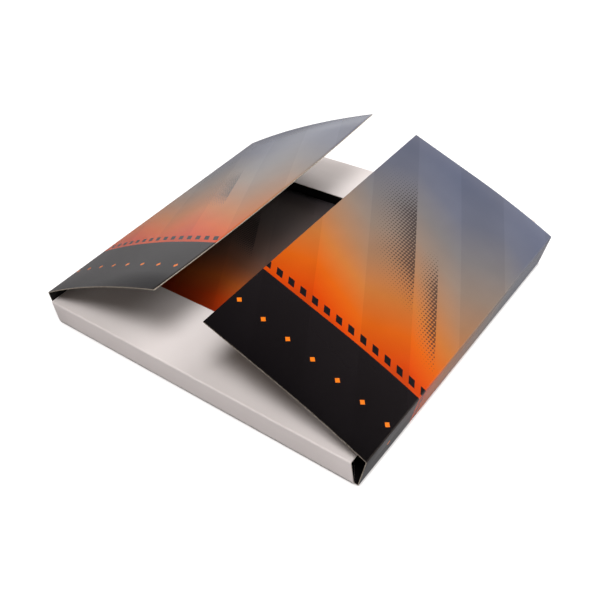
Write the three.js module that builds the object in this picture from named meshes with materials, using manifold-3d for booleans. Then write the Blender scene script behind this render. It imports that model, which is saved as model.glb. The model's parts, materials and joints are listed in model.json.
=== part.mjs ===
// Presentation box with two hinged doors, drawn standing half open.
//
// A printed card wrap is folded round a white board platform. The wrap is one sheet: a base, a spine at
// each side and a door flap on each spine. The platform is a folded board with a cut-out, and a black
// card tray below the cut-out makes the well, with a printed card on its floor. The platform's back wall
// is folded out flat. Units are millimetres, +Z is up, +X is to the right and +Y to the back. The origin
// is the centre of the base's underside.

import * as THREE from "three";
import { mergeVertices } from "three/addons/utils/BufferGeometryUtils.js";
import Module from "manifold-3d";

// Sheet thicknesses and clearances
const WRAP_CARD = 0.6;
const PLATFORM_BOARD = 0.6;
const TRAY_CARD = 0.6;
const FLOOR_CARD = 0.5;
const GLUE_GAP = 0.3;
const FOLD_GAP = 0.3;

// Platform
const PLATFORM_WIDTH = 240;
const PLATFORM_DEPTH = 209.2;
const PLATFORM_TOP = 18.3;
const PLATFORM_FOLD_INNER_RADIUS = 0.5;
const FRONT_FLANGE = 15;

// Back wall of the platform, folded out flat
const BACK_WALL_FOOT_GAP = 0.6;
const BACK_WALL_END_TAPER = 10;
const BACK_WALL_SHOULDER = 2;

// Well
const WELL_SIDE_MARGIN = 20;
const WELL_FRONT_MARGIN = 48.7;
const WELL_BACK_MARGIN = 21.2;
const WELL_DEPTH = 8;
const TRAY_RIM = 12;
const FLOOR_CARD_CLEARANCE = 0.4;

// Wrap
const WRAP_INSET = 1;
const LEFT_PLAY = 0.3;
const RIGHT_PLAY = 1.9;
const SPINE_HEADROOM = 6.9;
const LEFT_FLAP_LENGTH = 130.8;
const DOOR_GAP = 3.5;

// Where the doors stand, in degrees: how far each spine leans outwards, how far the fold of its flap
// is opened past square, and how far the flap bows over the stretch before its flat end
const LEFT_SPINE_LEAN_DEGREES = 0.9;
const LEFT_FLAP_OPENING_DEGREES = 29;
const LEFT_FLAP_BOW_DEGREES = 10;
const LEFT_FLAP_FLAT_END = 12;
const RIGHT_SPINE_LEAN_DEGREES = 16.2;
const RIGHT_FLAP_OPENING_DEGREES = 15.3;
const RIGHT_FLAP_BOW_DEGREES = 7.5;
const RIGHT_FLAP_FLAT_END = 48;

// Steps in each arc, and how near two corners are when they count as one
const BOW_STEPS = 20;
const FOLD_STEPS = 4;
const MERGE_TOLERANCE = 1e-5;

// Sizes that follow
const WRAP_DEPTH = PLATFORM_DEPTH - 2 * WRAP_INSET;
const BASE_WIDTH = PLATFORM_WIDTH + LEFT_PLAY + RIGHT_PLAY + 2 * WRAP_CARD;
const SPINE_HEIGHT = PLATFORM_TOP + SPINE_HEADROOM;
const RIGHT_FLAP_LENGTH = BASE_WIDTH - LEFT_FLAP_LENGTH - DOOR_GAP;
const LEFT_FOLD_X = -BASE_WIDTH / 2;
const RIGHT_FOLD_X = BASE_WIDTH / 2;
const PLATFORM_LEFT = LEFT_FOLD_X + WRAP_CARD + LEFT_PLAY;
const PLATFORM_CENTRE_X = PLATFORM_LEFT + PLATFORM_WIDTH / 2;
const PLATFORM_FRONT = -PLATFORM_DEPTH / 2;
const PLATFORM_BACK = PLATFORM_DEPTH / 2;
const PLATFORM_UNDERSIDE = PLATFORM_TOP - PLATFORM_BOARD;
const FOOT_LEVEL = WRAP_CARD + GLUE_GAP;
const WELL_WIDTH = PLATFORM_WIDTH - 2 * WELL_SIDE_MARGIN;
const WELL_LENGTH = PLATFORM_DEPTH - WELL_FRONT_MARGIN - WELL_BACK_MARGIN;
const WELL_CENTRE_Y = PLATFORM_FRONT + WELL_FRONT_MARGIN + WELL_LENGTH / 2;
const FLOOR_CARD_UNDERSIDE = PLATFORM_TOP - WELL_DEPTH - FLOOR_CARD;
const TRAY_FLOOR_TOP = FLOOR_CARD_UNDERSIDE - GLUE_GAP;
const TRAY_RIM_TOP = PLATFORM_UNDERSIDE - GLUE_GAP;

const wasm = await Module();
wasm.setup();

// Materials

function printedCard(color) {
  return new THREE.MeshStandardMaterial({ color, roughness: 0.28, metalness: 0 });
}

function whiteBoard() {
  return new THREE.MeshStandardMaterial({ color: 0xe2dad6, roughness: 0.75, metalness: 0 });
}

function blackCard() {
  return new THREE.MeshStandardMaterial({ color: 0x0d0c0c, roughness: 0.6, metalness: 0 });
}

// Geometry helpers

function mesh(name, geometry, material) {
  const part = new THREE.Mesh(geometry, material);
  part.name = name;
  return part;
}

function extrude(shape, depth, curveSegments = FOLD_STEPS) {
  return new THREE.ExtrudeGeometry(shape, { depth, curveSegments, steps: 1, bevelEnabled: false });
}

function rectangle(width, length) {
  const shape = new THREE.Shape();
  shape.moveTo(-width / 2, -length / 2);
  shape.lineTo(width / 2, -length / 2);
  shape.lineTo(width / 2, length / 2);
  shape.lineTo(-width / 2, length / 2);
  shape.closePath();
  return shape;
}

function frame(openingWidth, openingLength, border) {
  const shape = rectangle(openingWidth + 2 * border, openingLength + 2 * border);
  shape.holes.push(rectangle(openingWidth, openingLength));
  return shape;
}

function toSolid(geometry) {
  const bare = geometry.clone();
  bare.deleteAttribute("normal");
  bare.deleteAttribute("uv");
  const merged = mergeVertices(bare, MERGE_TOLERANCE);
  const soup = new wasm.Mesh({
    numProp: 3,
    vertProperties: Float32Array.from(merged.attributes.position.array),
    triVerts: Uint32Array.from(merged.index.array),
  });
  return new wasm.Manifold(soup);
}

function toGeometry(solid) {
  const soup = solid.getMesh();
  const indexed = new THREE.BufferGeometry();
  indexed.setAttribute("position", new THREE.BufferAttribute(Float32Array.from(soup.vertProperties), 3));
  indexed.setIndex(new THREE.BufferAttribute(Uint32Array.from(soup.triVerts), 1));
  const geometry = indexed.toNonIndexed();
  geometry.computeVertexNormals();
  return geometry;
}

// The wrap's base, between the fold lines of the two spines

function makeBasePanel() {
  const foldAllowance = WRAP_CARD + FOLD_GAP;
  const geometry = new THREE.BoxGeometry(BASE_WIDTH - 2 * foldAllowance, WRAP_DEPTH, WRAP_CARD);
  const base = mesh("base_panel", geometry, printedCard(0x1a1717));
  base.position.z = WRAP_CARD / 2;
  return base;
}

// A spine stands on its fold line, with its outer face through that line. Its top stops a card and a
// gap below the upper fold line, where the flap covers its edge. side is -1 at the left, 1 at the right.

function makeSpine(name, side) {
  const height = SPINE_HEIGHT - WRAP_CARD - FOLD_GAP;
  const geometry = new THREE.BoxGeometry(WRAP_CARD, WRAP_DEPTH, height);
  const spine = mesh(name, geometry, printedCard(0x4a474c));
  spine.position.set((-side * WRAP_CARD) / 2, 0, height / 2);
  return spine;
}

// A flap starts at the upper fold line and runs inwards, bowed with its crown up and then flat to its
// free edge. The section is drawn in its own plane, with x across the box and y up.

function flapSection(side, length, bow, flatEnd) {
  const bend = THREE.MathUtils.degToRad(bow);
  const radius = (length - flatEnd) / bend;
  const square = Math.PI / 2;
  const turned = square + side * bend;
  const outwardX = side * Math.sin(bend);
  const endX = -side * (radius * Math.sin(bend) + flatEnd * Math.cos(bend));
  const endY = -radius * (1 - Math.cos(bend)) - flatEnd * Math.sin(bend);
  const section = new THREE.Shape();
  section.moveTo(0, 0);
  section.absarc(0, -radius, radius, square, turned, side < 0);
  section.lineTo(endX, endY);
  section.lineTo(endX + outwardX * WRAP_CARD, endY - WRAP_CARD * Math.cos(bend));
  section.absarc(0, -radius, radius - WRAP_CARD, turned, square, side > 0);
  section.closePath();
  return section;
}

function makeFlap(name, side, length, bow, flatEnd) {
  const geometry = extrude(flapSection(side, length, bow, flatEnd), WRAP_DEPTH, BOW_STEPS);
  geometry.rotateX(Math.PI / 2);
  const flap = mesh(name, geometry, printedCard(0xb06a3c));
  flap.position.y = WRAP_DEPTH / 2;
  return flap;
}

// A door is a spine that leans out from the base, with its flap turned about the spine's top

function makeDoor(side, foldX, lean, opening, spine, flap) {
  const door = new THREE.Group();
  door.position.x = foldX;
  door.rotation.y = side * THREE.MathUtils.degToRad(lean);
  const leaf = new THREE.Group();
  leaf.position.z = SPINE_HEIGHT;
  leaf.rotation.y = side * THREE.MathUtils.degToRad(opening);
  leaf.add(flap);
  door.add(spine, leaf);
  return door;
}

function makeLeftDoor() {
  const spine = makeSpine("left_spine", -1);
  const flap = makeFlap("left_flap", -1, LEFT_FLAP_LENGTH, LEFT_FLAP_BOW_DEGREES, LEFT_FLAP_FLAT_END);
  return makeDoor(-1, LEFT_FOLD_X, LEFT_SPINE_LEAN_DEGREES, LEFT_FLAP_OPENING_DEGREES, spine, flap);
}

function makeRightDoor() {
  const spine = makeSpine("right_spine", 1);
  const flap = makeFlap("right_flap", 1, RIGHT_FLAP_LENGTH, RIGHT_FLAP_BOW_DEGREES, RIGHT_FLAP_FLAT_END);
  return makeDoor(1, RIGHT_FOLD_X, RIGHT_SPINE_LEAN_DEGREES, RIGHT_FLAP_OPENING_DEGREES, spine, flap);
}

// The platform's section runs from the glued front flange up the front wall and along the top. It is
// drawn with x to the back and y up, and extruded across the box.

function platformSection() {
  const inner = PLATFORM_FOLD_INNER_RADIUS;
  const outer = inner + PLATFORM_BOARD;
  const front = PLATFORM_FRONT;
  const flangeEnd = front + FRONT_FLANGE;
  const topEnd = PLATFORM_BACK - PLATFORM_BOARD - FOLD_GAP;
  const quarter = Math.PI / 2;
  const section = new THREE.Shape();
  section.moveTo(flangeEnd, FOOT_LEVEL);
  section.lineTo(front + outer, FOOT_LEVEL);
  section.absarc(front + outer, FOOT_LEVEL + outer, outer, -quarter, -2 * quarter, true);
  section.lineTo(front, PLATFORM_TOP - outer);
  section.absarc(front + outer, PLATFORM_TOP - outer, outer, 2 * quarter, quarter, true);
  section.lineTo(topEnd, PLATFORM_TOP);
  section.lineTo(topEnd, PLATFORM_UNDERSIDE);
  section.lineTo(front + outer, PLATFORM_UNDERSIDE);
  section.absarc(front + outer, PLATFORM_TOP - outer, inner, quarter, 2 * quarter, false);
  section.lineTo(front + PLATFORM_BOARD, FOOT_LEVEL + outer);
  section.absarc(front + outer, FOOT_LEVEL + outer, inner, 2 * quarter, 3 * quarter, false);
  section.lineTo(flangeEnd, FOOT_LEVEL + PLATFORM_BOARD);
  section.closePath();
  return section;
}

function makePlatform() {
  const folded = extrude(platformSection(), PLATFORM_WIDTH);
  const acrossBox = new THREE.Matrix4().makeBasis(
    new THREE.Vector3(0, 1, 0),
    new THREE.Vector3(0, 0, 1),
    new THREE.Vector3(1, 0, 0),
  );
  folded.applyMatrix4(acrossBox);
  folded.translate(PLATFORM_LEFT, 0, 0);
  const cutHeight = PLATFORM_TOP - FOOT_LEVEL;
  const cut = new THREE.BoxGeometry(WELL_WIDTH, WELL_LENGTH, cutHeight);
  cut.translate(PLATFORM_CENTRE_X, WELL_CENTRE_Y, PLATFORM_TOP);
  const solid = toSolid(folded).subtract(toSolid(cut));
  return mesh("platform", toGeometry(solid), whiteBoard());
}

// The back wall is hinged on the platform's top back edge. It lies open, level with the top, and its
// ends taper towards the free edge, as a tuck flap's do. The outline is drawn from the fold line.

function backWallOutline() {
  const reach = PLATFORM_TOP - BACK_WALL_FOOT_GAP;
  const half = PLATFORM_WIDTH / 2;
  const outline = new THREE.Shape();
  outline.moveTo(-half, 0);
  outline.lineTo(half, 0);
  outline.lineTo(half, BACK_WALL_SHOULDER);
  outline.lineTo(half - BACK_WALL_END_TAPER, reach);
  outline.lineTo(-half + BACK_WALL_END_TAPER, reach);
  outline.lineTo(-half, BACK_WALL_SHOULDER);
  outline.closePath();
  return outline;
}

function makeBackWall() {
  const wall = mesh("back_wall", extrude(backWallOutline(), PLATFORM_BOARD), whiteBoard());
  wall.position.set(PLATFORM_CENTRE_X, PLATFORM_BACK, PLATFORM_UNDERSIDE);
  return wall;
}

// The well tray is black card: a rim glued under the platform's top, four walls that stand on the base,
// and a raised floor between them

function makeWellTray() {
  const rim = extrude(frame(WELL_WIDTH, WELL_LENGTH, TRAY_RIM), TRAY_CARD);
  rim.translate(0, 0, TRAY_RIM_TOP - TRAY_CARD);
  const walls = extrude(frame(WELL_WIDTH, WELL_LENGTH, TRAY_CARD), TRAY_RIM_TOP - FOOT_LEVEL);
  walls.translate(0, 0, FOOT_LEVEL);
  const floor = extrude(rectangle(WELL_WIDTH + TRAY_CARD, WELL_LENGTH + TRAY_CARD), TRAY_CARD);
  floor.translate(0, 0, TRAY_FLOOR_TOP - TRAY_CARD);
  const solid = toSolid(walls).add(toSolid(rim)).add(toSolid(floor));
  const tray = mesh("well_tray", toGeometry(solid), blackCard());
  tray.position.set(PLATFORM_CENTRE_X, WELL_CENTRE_Y, 0);
  return tray;
}

function makeFloorCard() {
  const width = WELL_WIDTH - 2 * FLOOR_CARD_CLEARANCE;
  const length = WELL_LENGTH - 2 * FLOOR_CARD_CLEARANCE;
  const card = mesh("floor_card", extrude(rectangle(width, length), FLOOR_CARD), printedCard(0x3a2620));
  card.position.set(PLATFORM_CENTRE_X, WELL_CENTRE_Y, FLOOR_CARD_UNDERSIDE);
  return card;
}

const box = new THREE.Group();
box.add(
  makeBasePanel(),
  makeLeftDoor(),
  makeRightDoor(),
  makePlatform(),
  makeBackWall(),
  makeWellTray(),
  makeFloorCard(),
);

export default box;
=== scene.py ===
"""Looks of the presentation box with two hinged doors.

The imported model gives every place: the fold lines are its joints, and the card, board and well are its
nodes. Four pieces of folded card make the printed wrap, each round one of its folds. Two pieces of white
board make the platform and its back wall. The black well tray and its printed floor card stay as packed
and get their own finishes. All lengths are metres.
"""

import json
import logging
import math
from dataclasses import dataclass, field, replace
from enum import Enum
from typing import Any, Callable, Iterable, Sequence

import bpy
from mathutils import Matrix, Vector


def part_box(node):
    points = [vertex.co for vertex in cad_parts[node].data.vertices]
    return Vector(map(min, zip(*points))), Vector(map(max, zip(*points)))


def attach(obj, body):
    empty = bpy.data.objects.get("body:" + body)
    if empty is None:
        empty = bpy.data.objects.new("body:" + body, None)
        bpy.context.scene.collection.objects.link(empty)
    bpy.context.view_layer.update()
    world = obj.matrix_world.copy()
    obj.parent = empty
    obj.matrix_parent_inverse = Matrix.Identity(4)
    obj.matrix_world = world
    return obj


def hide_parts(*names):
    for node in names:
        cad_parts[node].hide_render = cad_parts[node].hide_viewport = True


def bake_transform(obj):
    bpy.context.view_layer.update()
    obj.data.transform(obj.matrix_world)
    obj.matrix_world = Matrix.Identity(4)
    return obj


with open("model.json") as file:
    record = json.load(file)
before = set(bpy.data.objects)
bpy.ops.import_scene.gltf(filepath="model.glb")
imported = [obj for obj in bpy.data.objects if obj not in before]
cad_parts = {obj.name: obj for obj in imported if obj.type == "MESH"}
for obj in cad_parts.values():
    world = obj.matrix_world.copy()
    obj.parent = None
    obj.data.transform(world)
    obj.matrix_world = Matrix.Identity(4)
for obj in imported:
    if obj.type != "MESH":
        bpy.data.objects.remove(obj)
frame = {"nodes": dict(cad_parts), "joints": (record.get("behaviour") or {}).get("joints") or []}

LOG = logging.getLogger("presentation_box")
MM = 0.001
NEAR = 0.00002

Socket = bpy.types.NodeSocket
Color = tuple[float, float, float]
WHITE: Color = (1.0, 1.0, 1.0)


class Side(Enum):
    """Which door a piece of the wrap belongs to, as the sign of its side along X."""

    LEFT = -1
    RIGHT = 1

    @property
    def word(self) -> str:
        """The side's word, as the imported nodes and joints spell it."""
        return self.name.lower()


class Slot(Enum):
    """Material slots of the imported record."""

    WRAP = "wrap_print"
    BOARD = "white_board"
    TRAY = "black_card"
    FLOOR = "floor_print"


def srgb(red: int, green: int, blue: int) -> Color:
    """Turn a screen colour into the linear values that a shader takes.

    Args:
        red: Red, from 0 to 255.
        green: Green, from 0 to 255.
        blue: Blue, from 0 to 255.

    Returns:
        The colour as linear red, green and blue.
    """
    def linear(level: int) -> float:
        """Turn one channel, from 0 to 255, into its linear value, from 0 to 1."""
        share = level / 255
        return share / 12.92 if share <= 0.04045 else ((share + 0.055) / 1.055) ** 2.4

    return linear(red), linear(green), linear(blue)


def joint_place(name: str) -> Vector:
    """Give the point in the frame that a fold's joint turns about."""
    found = next(joint for joint in frame["joints"] if joint["name"] == name)
    return Vector(found["pos_m"])


def deselect_all() -> None:
    """Clear the selection, which loading leaves full."""
    for item in bpy.context.selected_objects:
        item.select_set(False)


def make_active(item: bpy.types.Object) -> None:
    """Select one object alone and make it active.

    Args:
        item: The object.
    """
    deselect_all()
    item.select_set(True)
    bpy.context.view_layer.objects.active = item


# Shader node helpers


@dataclass(frozen=True)
class Relief:
    """How strongly a surface's relief shows, and how high a full step of it is, in metres."""

    strength: float
    height: float


class Nodes:
    """A node tree that is being wired, with short calls for the nodes this box needs."""

    def __init__(self, tree: bpy.types.NodeTree) -> None:
        """Start wiring an empty tree."""
        self.tree = tree

    def add(self, kind: str, **settings: Any) -> bpy.types.Node:
        """Add a node and set its properties.

        Args:
            kind: The node's type, such as ShaderNodeMath.
            settings: Properties to set on it.

        Returns:
            The new node.
        """
        node = self.tree.nodes.new(kind)
        for name, value in settings.items():
            setattr(node, name, value)
        return node

    def feed(self, socket: Socket, value: Any) -> None:
        """Link a socket to another, or set its value.

        Args:
            socket: The input that is fed.
            value: An output socket, or a plain value.
        """
        if isinstance(value, bpy.types.NodeSocket):
            self.tree.links.new(value, socket)
        else:
            socket.default_value = value

    def math(self, operation: str, *values: Any, clamp: bool = False) -> Socket:
        """Add a math node.

        Args:
            operation: The operation's name.
            values: Its inputs, in order, as numbers or sockets.
            clamp: Whether the result is kept from 0 to 1.

        Returns:
            The result's socket.
        """
        node = self.add("ShaderNodeMath", operation=operation, use_clamp=clamp)
        for socket, value in zip(node.inputs, values):
            self.feed(socket, value)
        return node.outputs[0]

    def split(self, vector: Socket) -> tuple[Socket, Socket, Socket]:
        """Split a vector into its three parts.

        Args:
            vector: The vector's socket.

        Returns:
            Its x, y and z.
        """
        node = self.add("ShaderNodeSeparateXYZ")
        self.feed(node.inputs[0], vector)
        return node.outputs[0], node.outputs[1], node.outputs[2]

    def join(self, x: Any, y: Any, z: Any = 0.0) -> Socket:
        """Join three numbers into a vector.

        Args:
            x: First number or socket.
            y: Second number or socket.
            z: Third number or socket.

        Returns:
            The vector's socket.
        """
        node = self.add("ShaderNodeCombineXYZ")
        for socket, value in zip(node.inputs, (x, y, z)):
            self.feed(socket, value)
        return node.outputs[0]

    def ramp(self, factor: Socket, stops: Sequence[tuple[float, Color]], smooth: bool = True) -> Socket:
        """Add a colour ramp.

        Args:
            factor: The place along the ramp.
            stops: Places and linear colours.
            smooth: Whether colours ease into each other.

        Returns:
            The colour's socket.
        """
        node = self.add("ShaderNodeValToRGB")
        node.color_ramp.interpolation = "EASE" if smooth else "LINEAR"
        marks = node.color_ramp.elements
        while len(marks) < len(stops):
            marks.new(1.0)
        for mark, (place, color) in zip(marks, stops):
            mark.position = place
            mark.color = (*color, 1.0)
        self.feed(node.inputs[0], factor)
        return node.outputs[0]

    def mix(self, factor: Any, first: Any, second: Any, blend: str = "MIX") -> Socket:
        """Mix two colours.

        Args:
            factor: Share of the second colour.
            first: First colour or socket.
            second: Second colour or socket.
            blend: How the two are mixed.

        Returns:
            The mixed colour's socket.
        """
        node = self.add("ShaderNodeMix", data_type="RGBA", blend_type=blend)
        self.feed(node.inputs[0], factor)
        for socket, value in ((node.inputs[6], first), (node.inputs[7], second)):
            self.feed(socket, (*value, 1.0) if isinstance(value, tuple) else value)
        return node.outputs[2]

    def remap(self, value: Any, low: float, high: float, to_low: float, to_high: float) -> Socket:
        """Map a range onto another, with its ends kept.

        Args:
            value: The value's socket.
            low: Start of the range.
            high: End of the range.
            to_low: What the start becomes.
            to_high: What the end becomes.

        Returns:
            The result's socket.
        """
        node = self.add("ShaderNodeMapRange", clamp=True)
        for socket, number in zip(node.inputs, (value, low, high, to_low, to_high)):
            self.feed(socket, number)
        return node.outputs[0]

    def noise(self, vector: Socket, scale: float, detail: float = 2.0, rough: float = 0.5) -> Socket:
        """Add a noise texture and return its value, from 0 to 1.

        Args:
            vector: The place it reads.
            scale: Its scale.
            detail: How many octaves it has.
            rough: How strong the fine octaves are.

        Returns:
            The value's socket.
        """
        node = self.add("ShaderNodeTexNoise")
        self.feed(node.inputs["Vector"], vector)
        self.feed(node.inputs["Scale"], scale)
        self.feed(node.inputs["Detail"], detail)
        self.feed(node.inputs["Roughness"], rough)
        return node.outputs["Fac"]

    def scaled(self, vector: Socket, x: float, y: float, z: float = 1.0) -> Socket:
        """Scale a vector by three numbers.

        Args:
            vector: The vector's socket.
            x: Factor along x.
            y: Factor along y.
            z: Factor along z.

        Returns:
            The scaled vector's socket.
        """
        node = self.add("ShaderNodeVectorMath", operation="MULTIPLY")
        self.feed(node.inputs[0], vector)
        self.feed(node.inputs[1], (x, y, z))
        return node.outputs[0]

    def dimmed(self, color: Socket, level: Socket) -> Socket:
        """Multiply a colour by one number."""
        return self.mix(1.0, color, self.join(level, level, level), "MULTIPLY")

    def bump(self, height: Socket, relief: Relief) -> Socket:
        """Add a bump node over a height and return its normal.

        Args:
            height: The height's socket.
            relief: How strongly and how high it stands out.

        Returns:
            The normal's socket.
        """
        node = self.add("ShaderNodeBump")
        node.inputs["Strength"].default_value = relief.strength
        node.inputs["Distance"].default_value = relief.height
        self.feed(node.inputs["Height"], height)
        return node.outputs["Normal"]

    def use(self, group: bpy.types.NodeTree, **inputs: Any) -> bpy.types.Node:
        """Place a node group and feed its named inputs.

        Args:
            group: The group's tree.
            inputs: Values or sockets for its inputs.

        Returns:
            The group's node.
        """
        node = self.add("ShaderNodeGroup", node_tree=group)
        for name, value in inputs.items():
            self.feed(node.inputs[name], value)
        return node


def new_group(name: str, inputs: Iterable[tuple[str, str]], outputs: Iterable[tuple[str, str]]) -> Nodes:
    """Start a shader node group with named sockets.

    Args:
        name: The group's name.
        inputs: Names and kinds of its inputs.
        outputs: Names and kinds of its outputs.

    Returns:
        The group's tree, ready to be wired.
    """
    tree = bpy.data.node_groups.new(name, "ShaderNodeTree")
    for way, sockets in (("INPUT", inputs), ("OUTPUT", outputs)):
        for label, kind in sockets:
            tree.interface.new_socket(name=label, in_out=way, socket_type=kind)
    return Nodes(tree)


# Printed design


@dataclass(frozen=True)
class Screen:
    """A slanted slab of small printed diamonds, which grow from one side of the slab to the other."""

    start: float
    width: float
    low: float
    high: float


@dataclass(frozen=True)
class PleatDesign:
    """A generic design of pleated bands, from orange to slate, with slanted screens of small diamonds.

    Its x is the distance along the flat sheet, its y the distance from the sheet's middle towards the
    back. The pleats repeat over the sheet's length, so they meet where the sheet's halves join under
    the box.
    """

    name: str
    stops: tuple[tuple[float, Color], ...]
    screen_ink: Color
    accent_ink: Color
    depth: float
    screens: tuple[Screen, ...]
    dark_edge: float = 0.235
    border: float = 0.022
    accent_level: float = 0.115
    accent_phase: float = 0.25
    length: float = 537.2 * MM
    pleats: int = 16
    bars_a_pleat: int = 4
    slant: float = 0.62
    lift: float = 0.06
    pitch: float = 1.9 * MM
    accent_size: float = 1.6 * MM
    blur: float = 0.3 * MM
    screen_fade: float = 0.35
    dot_growth: float = 0.7
    dot_edge: tuple[float, float] = (-0.04, 0.06)
    dot_strength: float = 0.8
    bar_share: float = 0.45
    lit_shade: float = 1.04
    pleat_shade: float = -0.1

    def screened(self, nodes: Nodes, place: Socket, run: Socket, level: Socket) -> Socket:
        """Fill the design's screens with diamonds.

        Args:
            nodes: The tree that is wired.
            place: The point in metres.
            run: Distance along the sheet, slanted.
            level: Share of the depth, from the front.

        Returns:
            The diamonds' mask.
        """
        strength: Any = 0.0
        for screen in self.screens:
            share = nodes.math("MULTIPLY_ADD", run, 1 / screen.width, -screen.start / screen.width)
            off_middle = nodes.math("ABSOLUTE", nodes.math("SUBTRACT", share, 0.5))
            within = nodes.math("LESS_THAN", off_middle, 0.5)
            middle, half = (screen.low + screen.high) / 2, (screen.high - screen.low) / 2
            along = nodes.math("ABSOLUTE", nodes.math("SUBTRACT", level, middle))
            ends = nodes.remap(along, half * self.screen_fade, half, 1.0, 0.0)
            filled = nodes.math("MULTIPLY", nodes.math("MULTIPLY", share, within), ends)
            strength = nodes.math("MAXIMUM", strength, filled)
        cells = nodes.add("ShaderNodeTexVoronoi", feature="F1", distance="MANHATTAN")
        nodes.feed(cells.inputs["Vector"], nodes.scaled(place, 1.0, 1.0, 0.0))
        cells.inputs["Scale"].default_value = 1 / self.pitch
        cells.inputs["Randomness"].default_value = 0.0
        size = nodes.math("MULTIPLY", strength, self.dot_growth)
        edge = nodes.math("SUBTRACT", size, cells.outputs["Distance"])
        return nodes.remap(edge, *self.dot_edge, 0.0, self.dot_strength)

    def front_field(self, nodes: Nodes, run: Socket, level: Socket) -> Socket:
        """The dark field along the front, which ends in a border of slanted bars.

        Args:
            nodes: The tree that is wired.
            run: Distance along the sheet, slanted.
            level: Share of the depth, from the front.

        Returns:
            The field's mask.
        """
        dark = nodes.math("GREATER_THAN", self.dark_edge, level)
        middle = self.dark_edge + self.border
        beside = nodes.math("ABSOLUTE", nodes.math("SUBTRACT", level, middle))
        border = nodes.math("GREATER_THAN", self.border * self.bar_share, beside)
        bars = nodes.math("FRACT", nodes.math("MULTIPLY", run, self.bars_a_pleat * self.pleats / self.length))
        border = nodes.math("MULTIPLY", border, nodes.math("GREATER_THAN", 0.5, bars))
        return nodes.math("MAXIMUM", dark, border)

    def accents(self, nodes: Nodes, x: Socket, y: Socket) -> Socket:
        """A sparse row of diamonds near the front.

        Args:
            nodes: The tree that is wired.
            x: Distance along the sheet.
            y: Distance from the sheet's middle.

        Returns:
            The diamonds' mask.
        """
        pitch = self.length / (2 * self.pleats)
        count = nodes.math("MULTIPLY_ADD", x, 1 / pitch, self.accent_phase)
        along = nodes.math("SUBTRACT", nodes.math("FRACT", count), 0.5)
        across = nodes.math("SUBTRACT", y, (self.accent_level - 0.5) * self.depth)
        reach = nodes.math(
            "MULTIPLY_ADD", nodes.math("ABSOLUTE", along), pitch, nodes.math("ABSOLUTE", across)
        )
        return nodes.remap(reach, self.accent_size, self.accent_size + self.blur, 1.0, 0.0)

    def build(self) -> bpy.types.NodeTree:
        """Wire the design as a node group.

        Returns:
            The group, with a Vector input in metres and a Color output.
        """
        nodes = new_group(
            self.name, [("Vector", "NodeSocketVector")], [("Color", "NodeSocketColor")]
        )
        place = nodes.add("NodeGroupInput").outputs["Vector"]
        x, y, _ = nodes.split(place)
        level = nodes.math("MULTIPLY_ADD", y, 1 / self.depth, 0.5)
        run = nodes.math("MULTIPLY_ADD", y, self.slant, x)
        share = nodes.math("MULTIPLY", run, self.pleats / self.length)
        pleat = nodes.math("PINGPONG", share, 1.0)
        side = nodes.math("FLOORED_MODULO", nodes.math("FLOOR", share), 2.0)
        shifted = nodes.math("MULTIPLY_ADD", nodes.math("SUBTRACT", pleat, 0.5), self.lift, level)
        dark = self.front_field(nodes, run, level)
        tone = nodes.ramp(nodes.math("MAXIMUM", shifted, self.dark_edge), self.stops, smooth=False)
        darkest, dark_end = self.stops[0][1], self.stops[1][1]
        front_tone = nodes.mix(nodes.remap(level, 0.0, self.dark_edge, 0.0, 1.0), darkest, dark_end)
        tone = nodes.mix(dark, tone, front_tone)
        shade = nodes.math("MULTIPLY_ADD", side, self.pleat_shade, self.lit_shade)
        tone = nodes.dimmed(tone, shade)
        tone = nodes.mix(self.screened(nodes, place, run, level), tone, self.screen_ink)
        tone = nodes.mix(self.accents(nodes, x, y), tone, self.accent_ink)
        out = nodes.add("NodeGroupOutput")
        nodes.feed(out.inputs["Color"], tone)
        return nodes.tree


WRAP_DESIGN = PleatDesign(
    name="WrapDesign",
    stops=(
        (0.0, srgb(15, 13, 15)),
        (0.1, srgb(27, 24, 26)),
        (0.25, srgb(200, 66, 8)),
        (0.33, srgb(204, 92, 18)),
        (0.42, srgb(186, 112, 54)),
        (0.52, srgb(158, 118, 88)),
        (0.62, srgb(138, 122, 110)),
        (0.72, srgb(119, 116, 117)),
        (0.84, srgb(102, 106, 121)),
        (1.0, srgb(94, 101, 122)),
    ),
    screen_ink=srgb(48, 40, 44),
    accent_ink=srgb(236, 122, 26),
    depth=207.2 * MM,
    screens=(
        Screen(167.9 * MM, 33.6 * MM, 0.4, 0.86),
        Screen(201.5 * MM, 16.8 * MM, 0.3, 0.66),
        Screen(50.4 * MM, 33.6 * MM, 0.42, 0.72),
        Screen(320 * MM, 33.6 * MM, 0.3, 0.8),
    ),
)

# The floor card's design: the print, in colours darkened overall as painted shade of the well under the
# doors.
SHADED_FLOOR_DESIGN = PleatDesign(
    name="FloorDesign",
    stops=(
        (0.0, srgb(142, 38, 10)),
        (0.1, srgb(172, 56, 12)),
        (0.22, srgb(172, 84, 32)),
        (0.36, srgb(122, 78, 56)),
        (0.5, srgb(100, 80, 72)),
        (0.72, srgb(84, 74, 72)),
        (1.0, srgb(58, 54, 56)),
    ),
    screen_ink=srgb(16, 13, 13),
    accent_ink=srgb(176, 92, 30),
    depth=139 * MM,
    screens=(Screen(-20 * MM, 33.6 * MM, 0.2, 0.6), Screen(-80 * MM, 33.6 * MM, 0.4, 0.8)),
    dark_edge=-0.2,
    accent_level=-1.0,
)


# Finishes

SHEET_MAP = "sheet"
FIBRE_SPAN = (0.3, 0.7)


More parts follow.
